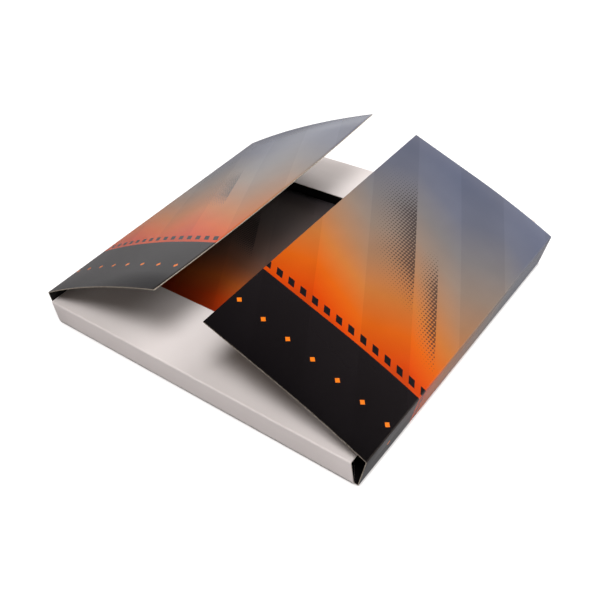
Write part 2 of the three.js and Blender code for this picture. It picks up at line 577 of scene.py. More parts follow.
@dataclass(frozen=True)
class CardFibre:
    """The fibre tone and fine relief of card, shared by every board and card of the box."""

    fine_scale: float = 2600.0
    fine_stretch: float = 0.55
    cloud_scale: float = 38.0
    wave_scale: float = 9.0
    fine_in_tone: float = 0.35
    fine_in_relief: float = 0.7

    def build(self) -> bpy.types.NodeTree:
        """Wire the fibre as a node group.

        Returns:
            The group, with a Vector input in metres and outputs for tone, relief and wave.
        """
        nodes = new_group(
            "CardFibre",
            [("Vector", "NodeSocketVector")],
            [("Tone", "NodeSocketFloat"), ("Relief", "NodeSocketFloat"), ("Wave", "NodeSocketFloat")],
        )
        place = nodes.add("NodeGroupInput").outputs["Vector"]
        fine = nodes.noise(nodes.scaled(place, 1.0, self.fine_stretch), self.fine_scale, 4.0, 0.65)
        cloud = nodes.noise(place, self.cloud_scale, 3.0, 0.5)
        out = nodes.add("NodeGroupOutput")
        for name, share in (("Tone", self.fine_in_tone), ("Relief", self.fine_in_relief)):
            rest = nodes.math("MULTIPLY", cloud, 1.0 - share)
            nodes.feed(out.inputs[name], nodes.math("MULTIPLY_ADD", fine, share, rest))
        nodes.feed(out.inputs["Wave"], nodes.noise(place, self.wave_scale, 1.0, 0.4))
        return nodes.tree


@dataclass(frozen=True)
class SheetWear:
    """Handling wear along a flat sheet's front and back edges, and along its fold lines."""

    folds: int = 4
    grain_scale: float = 420.0
    edge_reach: tuple[float, float] = (0.1 * MM, 0.45 * MM)
    edge_grain: tuple[float, float] = (0.35, 0.75)
    crease_reach: tuple[float, float] = (0.15 * MM, 1.1 * MM)
    crease_grain: tuple[float, float] = (0.3, 0.7)
    crease_levels: tuple[float, float] = (0.35, 1.0)

    def build(self) -> bpy.types.NodeTree:
        """Wire the wear as a node group.

        Returns:
            The group, with sheet coordinates, half depth and four fold places in, and masks out.
        """
        folds = [(f"Fold {index + 1}", "NodeSocketFloat") for index in range(self.folds)]
        nodes = new_group(
            "SheetWear",
            [("Vector", "NodeSocketVector"), ("Half Depth", "NodeSocketFloat"), *folds],
            [("Edge", "NodeSocketFloat"), ("Crease", "NodeSocketFloat")],
        )
        given = nodes.add("NodeGroupInput")
        x, y, _ = nodes.split(given.outputs["Vector"])
        grain = nodes.noise(given.outputs["Vector"], self.grain_scale, 3.0, 0.6)
        reach = nodes.math("SUBTRACT", given.outputs["Half Depth"], nodes.math("ABSOLUTE", y))
        edge = nodes.remap(reach, *self.edge_reach, 1.0, 0.0)
        edge = nodes.math("MULTIPLY", edge, nodes.remap(grain, *self.edge_grain, 0.0, 1.0))
        nearest: Any = 1.0
        for name, _kind in folds:
            gap = nodes.math("ABSOLUTE", nodes.math("SUBTRACT", x, given.outputs[name]))
            nearest = nodes.math("MINIMUM", nearest, gap)
        crease = nodes.remap(nearest, *self.crease_reach, 1.0, 0.0)
        broken = nodes.remap(grain, *self.crease_grain, *self.crease_levels)
        out = nodes.add("NodeGroupOutput")
        nodes.feed(out.inputs["Edge"], edge)
        nodes.feed(out.inputs["Crease"], nodes.math("MULTIPLY", crease, broken))
        return nodes.tree


@dataclass(frozen=True)
class Groups:
    """The node groups that the finishes place, each built once."""

    wrap_design: bpy.types.NodeTree
    floor_design: bpy.types.NodeTree
    fibre: bpy.types.NodeTree
    wear: bpy.types.NodeTree


class Shader:
    """A material with one Principled BSDF, and the surface coordinates that its patterns read."""

    def __init__(self, name: str, uv_map: str | None) -> None:
        """Make the material.

        Args:
            name: Its name.
            uv_map: The UV map its patterns follow, or None for Object coordinates.
        """
        self.material = bpy.data.materials.new(name)
        self.material.use_nodes = True
        self.nodes = Nodes(self.material.node_tree)
        self.bsdf = self.material.node_tree.nodes["Principled BSDF"]
        if uv_map is None:
            self.place = self.nodes.add("ShaderNodeTexCoord").outputs["Object"]
        else:
            self.place = self.nodes.add("ShaderNodeUVMap", uv_map=uv_map).outputs["UV"]

    def set(self, **values: Any) -> None:
        """Feed the BSDF's sockets.

        Args:
            values: What each socket gets, with underscores for the spaces in its name.
        """
        for name, value in values.items():
            socket = self.bsdf.inputs[name.replace("_", " ")]
            self.nodes.feed(socket, (*value, 1.0) if isinstance(value, tuple) else value)


@dataclass(frozen=True)
class CardFinish:
    """Coated card, whose tone, roughness and relief follow the shared fibre."""

    name: str
    uv_map: str | None
    dark: Color
    light: Color
    rough: tuple[float, float]
    specular: float
    relief: Relief

    def tone(self, nodes: Nodes, fibre: bpy.types.Node) -> Socket:
        """Mix the card's colour from its dark and its light fibres."""
        return nodes.mix(fibre.outputs["Tone"], self.dark, self.light)

    def build(self, groups: Groups) -> bpy.types.Material:
        """Make the material.

        Args:
            groups: The shared groups.

        Returns:
            The material.
        """
        shader = Shader(self.name, self.uv_map)
        nodes = shader.nodes
        fibre = nodes.use(groups.fibre, Vector=shader.place)
        roughness = nodes.remap(fibre.outputs["Tone"], *FIBRE_SPAN, *self.rough)
        shader.set(Base_Color=self.tone(nodes, fibre), Roughness=roughness)
        shader.set(Normal=nodes.bump(fibre.outputs["Relief"], self.relief), Specular_IOR_Level=self.specular)
        return shader.material


@dataclass(frozen=True)
class BoardFinish(CardFinish):
    """Matt coated white board, with faint smudges from handling."""

    smudge: Color = srgb(190, 178, 170)
    smudge_span: tuple[float, float] = (0.55, 0.8)
    smudge_share: float = 0.05

    def tone(self, nodes: Nodes, fibre: bpy.types.Node) -> Socket:
        """Mix the board's colour and lay the smudges over it.

        Args:
            nodes: The material's tree.
            fibre: The shared fibre, placed in it.

        Returns:
            The colour's socket.
        """
        clean = super().tone(nodes, fibre)
        share = nodes.remap(fibre.outputs["Wave"], *self.smudge_span, 0.0, self.smudge_share)
        return nodes.mix(share, clean, self.smudge)


BLACK_INSIDE = CardFinish(
    "black_inside", SHEET_MAP, srgb(9, 8, 9), srgb(20, 18, 19), (0.5, 0.66), 0.22, Relief(0.3, 0.04 * MM)
)
BLACK_LINER = CardFinish(
    "black_liner", None, srgb(8, 8, 10), srgb(20, 19, 22), (0.6, 0.78), 0.2, Relief(0.3, 0.05 * MM)
)
BLACK_TRAY = CardFinish(
    "matt_black_tray", None, srgb(7, 6, 7), srgb(17, 15, 16), (0.62, 0.8), 0.18, Relief(0.35, 0.05 * MM)
)
WHITE_BOARD = BoardFinish(
    "coated_board", None, srgb(233, 225, 223), srgb(243, 238, 236), (0.52, 0.64), 0.35,
    Relief(0.25, 0.05 * MM)
)
WHITE_BOARD_LEAF = replace(WHITE_BOARD, name="coated_board_leaf", uv_map=SHEET_MAP)


@dataclass(frozen=True)
class LaminatedPrint:
    """The wrap's outside: the printed design under a gloss film, worn at its edges and folds."""

    folds: tuple[float, ...] = (-25.2 * MM, 0.0, 243.4 * MM, 268.6 * MM)
    grain: tuple[float, float] = (0.94, 1.06)
    worn_tone: Color = srgb(150, 138, 126)
    worn_share: float = 0.35
    crease_share: float = 0.3
    rough: tuple[float, float] = (0.16, 0.3)
    crease_rough: float = 0.2
    wave_height: float = 6.0
    film_ior: float = 1.37
    relief: Relief = Relief(0.06, 0.05 * MM)

    def build(self, groups: Groups, half_depth: float) -> bpy.types.Material:
        """Make the material.

        Args:
            groups: The shared groups.
            half_depth: Half the wrap's depth, for the wear along its edges.

        Returns:
            The material.
        """
        shader = Shader("laminated_print", SHEET_MAP)
        nodes = shader.nodes
        design = nodes.use(groups.wrap_design, Vector=shader.place)
        fibre = nodes.use(groups.fibre, Vector=shader.place)
        folds = {f"Fold {index + 1}": place for index, place in enumerate(self.folds)}
        wear = nodes.use(groups.wear, Vector=shader.place, **{"Half Depth": half_depth}, **folds)
        grain = nodes.remap(fibre.outputs["Tone"], *FIBRE_SPAN, *self.grain)
        color = nodes.dimmed(design.outputs["Color"], grain)
        creased = nodes.math("MULTIPLY", wear.outputs["Crease"], self.crease_share)
        worn = nodes.math("MAXIMUM", wear.outputs["Edge"], creased)
        color = nodes.mix(nodes.math("MULTIPLY", worn, self.worn_share), color, self.worn_tone)
        roughness = nodes.remap(fibre.outputs["Wave"], 0.0, 1.0, *self.rough)
        roughness = nodes.math("MULTIPLY_ADD", wear.outputs["Crease"], self.crease_rough, roughness)
        wave, fine = fibre.outputs["Wave"], fibre.outputs["Relief"]
        height = nodes.math("MULTIPLY_ADD", wave, self.wave_height, fine)
        shader.set(Base_Color=color, Roughness=roughness, IOR=self.film_ior)
        shader.set(Normal=nodes.bump(height, self.relief))
        return shader.material


@dataclass(frozen=True)
class CardCore:
    """The wrap's cut edge: the card's pale core, with darker streaks where the cut dragged."""

    pale: Color = srgb(182, 174, 160)
    streak: Color = srgb(116, 104, 92)
    streak_scale: float = 900.0
    streak_span: tuple[float, float] = (0.35, 0.7)
    rough: tuple[float, float] = (0.7, 0.9)
    relief: Relief = Relief(0.5, 0.08 * MM)

    def build(self, groups: Groups) -> bpy.types.Material:
        """Make the material.

        Args:
            groups: The shared groups.

        Returns:
            The material.
        """
        shader = Shader("card_core", SHEET_MAP)
        nodes = shader.nodes
        fibre = nodes.use(groups.fibre, Vector=shader.place)
        drag = nodes.noise(
            nodes.scaled(shader.place, self.streak_scale, self.streak_scale), 1.0, 3.0, 0.7
        )
        color = nodes.mix(nodes.remap(drag, *self.streak_span, 0.0, 1.0), self.pale, self.streak)
        shader.set(Base_Color=color, Roughness=nodes.remap(drag, *FIBRE_SPAN, *self.rough))
        shader.set(Normal=nodes.bump(fibre.outputs["Relief"], self.relief))
        return shader.material


@dataclass(frozen=True)
class BoardCut:
    """The white board's cut edge, a little rougher and greyer than its face."""

    pale: Color = srgb(226, 218, 212)
    grey: Color = srgb(196, 186, 178)
    grain_scale: float = 1400.0
    rough: tuple[float, float] = (0.75, 0.92)
    relief: Relief = Relief(0.4, 0.06 * MM)

    def build(self) -> bpy.types.Material:
        """Make the material.

        Returns:
            The material.
        """
        shader = Shader("coated_board_edge", None)
        nodes = shader.nodes
        drag = nodes.noise(shader.place, self.grain_scale, 3.0, 0.7)
        color = nodes.mix(nodes.remap(drag, *FIBRE_SPAN, 0.0, 1.0), self.pale, self.grey)
        shader.set(Base_Color=color, Roughness=nodes.remap(drag, *FIBRE_SPAN, *self.rough))
        shader.set(Normal=nodes.bump(drag, self.relief))
        return shader.material


@dataclass(frozen=True)
class FloorPrint:
    """The floor card: the same generic design on satin card, in colours darkened as painted shade of the
    well.
    """

    grain_span: tuple[float, float] = (0.2, 0.8)
    grain: tuple[float, float] = (0.9, 1.1)
    rough: tuple[float, float] = (0.4, 0.5)
    relief: Relief = Relief(0.2, 0.04 * MM)

    def build(self, groups: Groups, middle: Vector) -> bpy.types.Material:
        """Make the material.

        Args:
            groups: The shared groups.
            middle: Middle of the floor card, which the design is centred on.

        Returns:
            The material.
        """
        shader = Shader("satin_floor_card", None)
        nodes = shader.nodes
        moved = nodes.add("ShaderNodeVectorMath", operation="SUBTRACT")
        nodes.feed(moved.inputs[0], shader.place)
        moved.inputs[1].default_value = middle
        # The design's darkened colours are painted shade of the well.
        design = nodes.use(groups.floor_design, Vector=moved.outputs[0])
        fibre = nodes.use(groups.fibre, Vector=shader.place)
        grain = nodes.remap(fibre.outputs["Tone"], *self.grain_span, *self.grain)
        roughness = nodes.remap(fibre.outputs["Tone"], *FIBRE_SPAN, *self.rough)
        shader.set(Base_Color=nodes.dimmed(design.outputs["Color"], grain), Roughness=roughness)
        shader.set(Normal=nodes.bump(fibre.outputs["Relief"], self.relief))
        return shader.material


class Finishes:
    """Every material of the box, each made once from its finish."""

    def __init__(self, half_depth: float, floor_middle: Vector) -> None:
        """Build the shared groups and the materials.

        Args:
            half_depth: Half the wrap's depth, for the wear along its edges.
            floor_middle: Middle of the floor card, which its design is centred on.
        """
        groups = Groups(
            WRAP_DESIGN.build(), SHADED_FLOOR_DESIGN.build(), CardFibre().build(), SheetWear().build()
        )
        self.print = LaminatedPrint().build(groups, half_depth)
        self.inside = BLACK_INSIDE.build(groups)
        self.cut_edge = CardCore().build(groups)
        self.board = WHITE_BOARD.build(groups)
        self.board_leaf = WHITE_BOARD_LEAF.build(groups)
        self.board_edge = BoardCut().build()
        self.board_back = BLACK_LINER.build(groups)
        self.tray = BLACK_TRAY.build(groups)
        self.floor = FloorPrint().build(groups, floor_middle)


# Folded sheets


@dataclass(frozen=True)
class Row:
    """One row of a folded sheet: its place in the section, and how far along the flat sheet it lies."""

    across: float
    up: float
    flat: float


def rounded(corners: Sequence[Row], radius: float, steps: int) -> list[Row]:
    """Round the inner corners of a folded section.

    Args:
        corners: The section's corners, ends included.
        radius: Radius of each fold's outside.
        steps: Rows in each round fold.

    Returns:
        The section's rows, with each corner turned into an arc.
    """
    rows = [corners[0]]
    for before, corner, after in zip(corners, corners[1:], corners[2:]):
        point = Vector((corner.across, corner.up))
        back = (Vector((before.across, before.up)) - point).normalized()
        ahead = (Vector((after.across, after.up)) - point).normalized()
        half = back.angle(ahead) / 2
        tangent = radius / math.tan(half)
        centre = point + (back + ahead).normalized() * (radius / math.sin(half))
        start = point + back * tangent - centre
        end = point + ahead * tangent - centre
        turn = start.angle(end)
        for step in range(steps + 1):
            share = step / steps
            spoke = start * math.sin((1 - share) * turn) + end * math.sin(share * turn)
            place = centre + spoke / math.sin(turn)
            rows.append(Row(place.x, place.y, corner.flat + (2 * share - 1) * tangent))
    rows.append(corners[-1])
    return rows


class FoldedSheet:
    """A sheet of card or board, extruded row by row along its section and then given its thickness."""

    inside_slot = 1
    edge_slot = 2
    sharp_limit = 0.5
    bevel_segments = 2

    def __init__(self, name: str, rows: Sequence[Row], lift: Callable[[float, float, float], Vector],
                 ends: tuple[float, float]) -> None:
        """Keep what describes the sheet.

        Args:
            name: The piece's name.
            rows: Its section, row by row.
            lift: Turns across, along and up into a point in the frame.
            ends: The two ends of every row, along the folds.
        """
        self.name = name
        self.rows = rows
        self.lift = lift
        self.ends = ends
        self.object = self.extruded()

    def point(self, row: Row, along: float) -> Vector:
        """Give the point in the frame of a row at one place along the folds."""
        return self.lift(row.across, along, row.up)

    def extruded(self) -> bpy.types.Object:
        """Add a plane at the first two rows and extrude its far edge along the rest.

        Returns:
            The surface as an object at the origin.
        """
        low, high = self.ends
        first = self.point(self.rows[0], low)
        second = self.point(self.rows[1], low)
        along = self.point(self.rows[0], high) - first
        step = second - first
        deselect_all()
        bpy.ops.mesh.primitive_plane_add(size=1.0)
        sheet = bpy.context.object
        sheet.name = self.name
        sheet.data.name = self.name
        basis = Matrix((step, along, step.cross(along).normalized())).transposed()
        middle = first + (step + along) / 2
        sheet.matrix_world = Matrix.Translation(middle) @ basis.to_4x4()
        bpy.ops.object.transform_apply(location=True, rotation=True, scale=True)
        self.select_by(sheet, lambda co: abs((co - second).dot(step.normalized())) < step.length / 2)
        bpy.ops.object.mode_set(mode="EDIT")
        bpy.ops.mesh.select_mode(type="EDGE")
        for here, there in zip(self.rows[1:], self.rows[2:]):
            move = self.point(there, low) - self.point(here, low)
            bpy.ops.mesh.extrude_region_move(TRANSFORM_OT_translate={"value": move})
        bpy.ops.object.mode_set(mode="OBJECT")
        return sheet

    def select_by(self, sheet: bpy.types.Object, test: Callable[[Vector], bool]) -> None:
        """Select the vertices that pass a test, and the edges and faces between them.

        Args:
            sheet: The sheet's object.
            test: Tells from a vertex's place whether it is selected.
        """
        mesh = sheet.data
        for vertex in mesh.vertices:
            vertex.select = test(vertex.co)
        for edge in mesh.edges:
            edge.select = all(mesh.vertices[index].select for index in edge.vertices)
        for face in mesh.polygons:
            face.select = all(mesh.vertices[index].select for index in face.vertices)

    def edit(self, work: Callable[[], None]) -> None:
        """Run operators on the sheet in edit mode, with what is selected.

        Args:
            work: Calls the operators.
        """
        make_active(self.object)
        bpy.ops.object.mode_set(mode="EDIT")
        work()
        bpy.ops.object.mode_set(mode="OBJECT")

    def move_corners(self, test: Callable[[Vector], bool], move: Vector) -> None:
        """Move the vertices whose places pass a test."""
        self.select_by(self.object, test)
        self.edit(lambda: bpy.ops.transform.translate(value=move))

    def cut_at(self, place: Vector, normal: Vector) -> None:
        """Cut an edge line right across the sheet where a plane meets it."""
        self.select_by(self.object, lambda co: True)
        self.edit(lambda: bpy.ops.mesh.bisect(plane_co=place, plane_no=normal))

    def open_window(self, low: Vector, high: Vector) -> None:
        """Cut a rectangular window out of the sheet.

        Args:
            low: The window's lowest corner, a little below the sheet.
            high: Its highest corner, a little above.
        """
        for corner in (low, high):
            for axis in (Vector((1, 0, 0)), Vector((0, 1, 0))):
                self.cut_at(corner, axis)
        for vertex in self.object.data.vertices:
            vertex.select = False
        for face in self.object.data.polygons:
            centre = face.center
            face.select = all(low[i] < centre[i] < high[i] for i in range(3))

        def delete_faces() -> None:
            """Delete the faces inside the window."""
            bpy.ops.mesh.select_mode(type="FACE")
            bpy.ops.mesh.delete(type="FACE")

        self.edit(delete_faces)

    def sag(self, depth: float, cuts: int) -> None:
        """Let the middle of the last row hang below its two ends, as curled card does.

        Args:
            depth: How far it hangs behind the sheet's face.
            cuts: Cut lines across the rows, which let them curve.
        """
        low, high = self.ends
        along = (self.lift(0.0, 1.0, 0.0) - self.lift(0.0, 0.0, 0.0)).normalized()
        for index in range(1, cuts + 1):
            self.cut_at(along * (low + (high - low) * index / (cuts + 1)), along)
        start, end = self.rows[0].flat, self.rows[-1].flat
        points = [self.point(row, low) for row in self.rows]
        group = self.object.vertex_groups.new(name="sag")
        for vertex in self.object.data.vertices:
            level = vertex.co.dot(along)
            base = vertex.co - along * (level - low)
            reach = (self.flat_at(base, points) - start) / (end - start)
            across = (2 * level - low - high) / (high - low)
            group.add([vertex.index], max(reach, 0.0) ** 2 * max(1.0 - across ** 2, 0.0), "REPLACE")
        make_active(self.object)
        hang = self.object.modifiers.new("sag", "DISPLACE")
        hang.vertex_group = group.name
        hang.mid_level = 0.0
        hang.strength = -depth
        bpy.ops.object.modifier_apply(modifier=hang.name)
        self.object.vertex_groups.clear()

    def map_flat(self, uv_map: str, swap: bool = False) -> None:
        """Give the sheet a UV map with its flat coordinates in metres.

        Args:
            uv_map: The map's name.
            swap: Whether the folds run along X, so that flat distances go up the map.
        """
        mesh = self.object.data
        layer = mesh.uv_layers.get(uv_map) or mesh.uv_layers.new(name=uv_map)
        for other in [item for item in mesh.uv_layers if item.name != uv_map]:
            mesh.uv_layers.remove(other)
        layer = mesh.uv_layers[uv_map]
        low = self.ends[0]
        points = [self.point(row, low) for row in self.rows]
        along = (self.lift(0.0, 1.0, 0.0) - self.lift(0.0, 0.0, 0.0)).normalized()
        flats = {}
        for vertex in mesh.vertices:
            level = vertex.co.dot(along)
            base = vertex.co - along * (level - points[0].dot(along))
            flats[vertex.index] = (self.flat_at(base, points), level)
        for loop in mesh.loops:
            flat, level = flats[loop.vertex_index]
            layer.data[loop.index].uv = (level, flat) if swap else (flat, level)

    def flat_at(self, base: Vector, points: Sequence[Vector]) -> float:
        """Distance along the flat sheet of a point on its section.

        Args:
            base: The point.
            points: The section's points, row by row.

        Returns:
            The distance.
        """
        best, flat = math.inf, 0.0
        for index, (start, end) in enumerate(zip(points, points[1:])):
            run = end - start
            share = min(max((base - start).dot(run) / run.length_squared, 0.0), 1.0)
            gap = (start + run * share - base).length
            if gap < best - NEAR / 10:
                best = gap
                flat = self.rows[index].flat + share * (self.rows[index + 1].flat - self.rows[index].flat)
        return flat

    def face_towards(self, direction: Vector) -> None:
        """Turn the surface so that its first face looks along a direction.

        Args:
            direction: Where that face looks.
        """
        self.select_by(self.object, lambda co: True)
        if self.object.data.polygons[0].normal.dot(direction) < 0:
            self.edit(bpy.ops.mesh.flip_normals)

    def thicken(self, thickness: float, materials: Sequence[bpy.types.Material]) -> None:
        """Give the sheet its thickness behind its face, with the face, inside and edge materials.

        Args:
            thickness: Thickness of the card or board.
            materials: Materials of the face, the inside and the cut edge.
        """
        for material in materials:
            self.object.data.materials.append(material)
        make_active(self.object)
        wall = self.object.modifiers.new("thickness", "SOLIDIFY")
        wall.thickness = thickness
        wall.offset = -1.0
        wall.use_even_offset = True
        wall.use_quality_normals = True
        wall.material_offset = self.inside_slot
        wall.material_offset_rim = self.edge_slot
        bpy.ops.object.modifier_apply(modifier=wall.name)

    def soften_cut(self, width: float, is_cut: Callable[[Vector, Vector], bool]) -> None:
        """Bevel the cut edges that a test picks by their two ends.

        Args:
            width: Width of the bevel.
            is_cut: Tells from an edge's ends whether it lies on a real cut.
        """
        mesh = self.object.data
        faces_at: dict[int, set[int]] = {}
        edge_key = {edge.key: edge.index for edge in mesh.edges}
        for face in mesh.polygons:
            for key in face.edge_keys:
                faces_at.setdefault(edge_key[key], set()).add(face.index)
        self.select_by(self.object, lambda co: False)
        for edge in mesh.edges:
            beside = [mesh.polygons[index].normal for index in faces_at.get(edge.index, ())]
            if len(beside) == 2 and beside[0].dot(beside[1]) < self.sharp_limit:
                start, end = (mesh.vertices[index].co for index in edge.vertices)
                edge.select = is_cut(start, end)

        def bevel() -> None:
            """Bevel the selected edges."""
            bpy.ops.mesh.select_mode(type="EDGE")
            bpy.ops.mesh.bevel(offset=width, segments=self.bevel_segments, affect="EDGES")

        self.edit(bevel)

    def finish(self, smooth_angle: float = 35.0) -> bpy.types.Object:
        """Shade the sheet smooth below an angle and hand it over.

        Args:
            smooth_angle: Largest angle that is shaded smooth, in degrees.

        Returns:
            The sheet's object.
        """
        make_active(self.object)
        bpy.ops.object.shade_smooth_by_angle(angle=math.radians(smooth_angle))
        LOG.info("%s: %d faces", self.name, len(self.object.data.polygons))
        return self.object


# Sub-assemblies


@dataclass
class Door:
    """One door of the wrap: a spine that leans out, and a bowed flap on its upper fold."""

    side: Side
    rise: float
    length: float
    bow: float
    flat_end: float
    hang: float
    bow_rows: int = 26
    end_rows: int = 4

    def __post_init__(self) -> None:
        """Read the two fold lines from the frame."""
        self.foot = joint_place(f"{self.side.word}_spine_fold")
        self.top = joint_place(f"{self.side.word}_flap_fold")

    @property
    def spine_height(self) -> float:
        """Distance between the door's two folds."""
        return (self.top - self.foot).length

    @property
    def spine_middle(self) -> Row:
        """The row halfway up the spine, where the wrap's pieces meet."""
        middle = (self.foot + self.top) / 2
        return Row(middle.x, middle.z, abs(self.foot.x) + self.spine_height / 2)

    @property
    def lower_fold(self) -> Row:
        """The fold line between base and spine."""
        return Row(self.foot.x, self.foot.z, abs(self.foot.x))

    @property
    def upper_fold(self) -> Row:
        """The fold line between spine and flap."""
        return Row(self.top.x, self.top.z, abs(self.foot.x) + self.spine_height)

    def flap_row(self, reach: float) -> Row:
        """A row of the flap's printed face.

        Args:
            reach: Distance from the fold along the flap.

        Returns:
            The row.
        """
        bend = math.radians(self.bow)
        radius = (self.length - self.flat_end) / bend
        turned = min(reach, self.length - self.flat_end) / radius
        rest = max(reach - (self.length - self.flat_end), 0.0)
        inward = radius * math.sin(turned) + rest * math.cos(turned)
        down = radius * (1 - math.cos(turned)) + rest * math.sin(turned)
        rise = math.radians(self.rise)
        along = inward * math.cos(rise) + down * math.sin(rise)
        up = inward * math.sin(rise) - down * math.cos(rise)
        fold = self.upper_fold
        return Row(fold.across - self.side.value * along, fold.up + up, fold.flat + reach)

    def base_rows(self, radius: float, steps: int) -> list[Row]:
        """Give the rows from the base's middle round the lower fold to the spine's middle."""
        corners = [Row(0.0, 0.0, 0.0), self.lower_fold, self.spine_middle]
        return rounded(corners, radius, steps)

    def flap_rows(self, radius: float, steps: int) -> list[Row]:
        """Rows from the spine's middle round the upper fold to the flap's free edge.

        Args:
            radius: Radius of the fold's outside.
            steps: Rows in the round fold.

        Returns:
            The rows.
        """
        bowed = self.length - self.flat_end
        reaches = [bowed * index / self.bow_rows for index in range(1, self.bow_rows + 1)]
        reaches += [bowed + self.flat_end * index / self.end_rows for index in range(1, self.end_rows + 1)]
        flap = [self.flap_row(reach) for reach in reaches]
        folded = rounded([self.spine_middle, self.upper_fold, flap[0]], radius, steps)
        return folded + flap[1:]


@dataclass
class Wrap:
    """The printed card wrap, as four folded pieces, each round one of its four folds."""

    finishes: Finishes
    fold_radius: float = 0.9 * MM
    fold_steps: int = 8
    fold_reach: float = 1.3 * MM
    edge_bevel: float = 0.07 * MM
    tip_reach: float = 5 * MM
    sag_cuts: int = 11
    doors: tuple[Door, ...] = field(default_factory=lambda: (
        Door(Side.LEFT, rise=29.9, length=130.8 * MM, bow=10.0, flat_end=12 * MM, hang=2.1 * MM),
        Door(Side.RIGHT, rise=31.5, length=109.1 * MM, bow=7.5, flat_end=48 * MM, hang=-0.8 * MM),
    ))

    def __post_init__(self) -> None:
        """Read the card's size from the frame."""
        low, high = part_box("base_panel")
        self.ends = (low.y, high.y)
        self.card = high.z - low.z

    @staticmethod
    def lift(across: float, along: float, up: float) -> Vector:
        """Turn a section drawn from left to right into points of the frame."""
        return Vector((across, along, up))

    def printed_place(self, door: Door, rows: Sequence[Row]) -> list[Row]:
        """Measure rows along the printed sheet from the left door's upper fold.

        Args:
            door: The door that the rows belong to.
            rows: Rows measured from the base's middle.

        Returns:
            The same rows with their new distances.
        """
        start = door.upper_fold.flat
        span = abs(self.doors[0].foot.x) + abs(self.doors[1].foot.x)
        if door.side is Side.LEFT:
            return [Row(row.across, row.up, row.flat - start) for row in rows]
        return [Row(row.across, row.up, span + start - row.flat) for row in rows]

    def sheet(self, name: str, door: Door, rows: Sequence[Row], outward: Vector,
              free_end: bool) -> FoldedSheet:
        """Make one piece of the wrap.

        Args:
            name: The piece's name.
            door: The door it belongs to.
            rows: Its section.
            outward: Where its first face looks.
            free_end: Whether its last row is the flap's free edge.

        Returns:
            The finished sheet.
        """
        piece = FoldedSheet(name, self.printed_place(door, rows), self.lift, self.ends)
        piece.face_towards(outward)
        if free_end:
            piece.sag(door.hang, self.sag_cuts)
        piece.map_flat(SHEET_MAP)
        piece.thicken(self.card, (self.finishes.print, self.finishes.inside, self.finishes.cut_edge))
        tip = rows[-1]

        def is_cut(start: Vector, end: Vector) -> bool:
            """Tell whether an edge lies on the front or back cut, or on the flap's free edge.

            Args:
                start: The edge's first end.
                end: Its second end.

            Returns:
                True on a cut.
            """
            if any(abs(start.y - y) < NEAR and abs(end.y - y) < NEAR for y in self.ends):
                return True
            gaps = [math.hypot(point.x - tip.across, point.z - tip.up) for point in (start, end)]
            return free_end and max(gaps) < self.tip_reach

        piece.soften_cut(self.edge_bevel, is_cut)
        return piece

    def build(self) -> None:
        """Build the four pieces, each round its fold."""
        for door in self.doors:
            word = door.side.word
            spine, flap = f"{word}_spine", f"{word}_flap"
            inward = Vector((-door.side.value, 0, 0))
            up_spine = (door.top - door.foot).normalized()
            first = door.flap_row(self.fold_reach)
            along_flap = (Vector((first.across, 0, first.up)) - door.top).normalized()
            outward = Vector((door.side.value, 0, 0))

            rows = door.base_rows(self.fold_radius, self.fold_steps)
            base = self.sheet(f"wrap_base_{word}", door, rows, Vector((0, 0, -1)), False).finish()
            start, end = door.foot + inward * self.fold_reach, door.foot + up_spine * self.fold_reach
            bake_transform(base)
            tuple(start)
            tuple(end)
            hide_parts("base_panel", spine)

            rows = door.flap_rows(self.fold_radius, self.fold_steps)
            leaf = self.sheet(f"wrap_door_{word}", door, rows, outward, True).finish()
            start, end = door.top - up_spine * self.fold_reach, door.top + along_flap * self.fold_reach
            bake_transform(leaf)
            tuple(start)
            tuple(end)
            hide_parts(spine, flap)


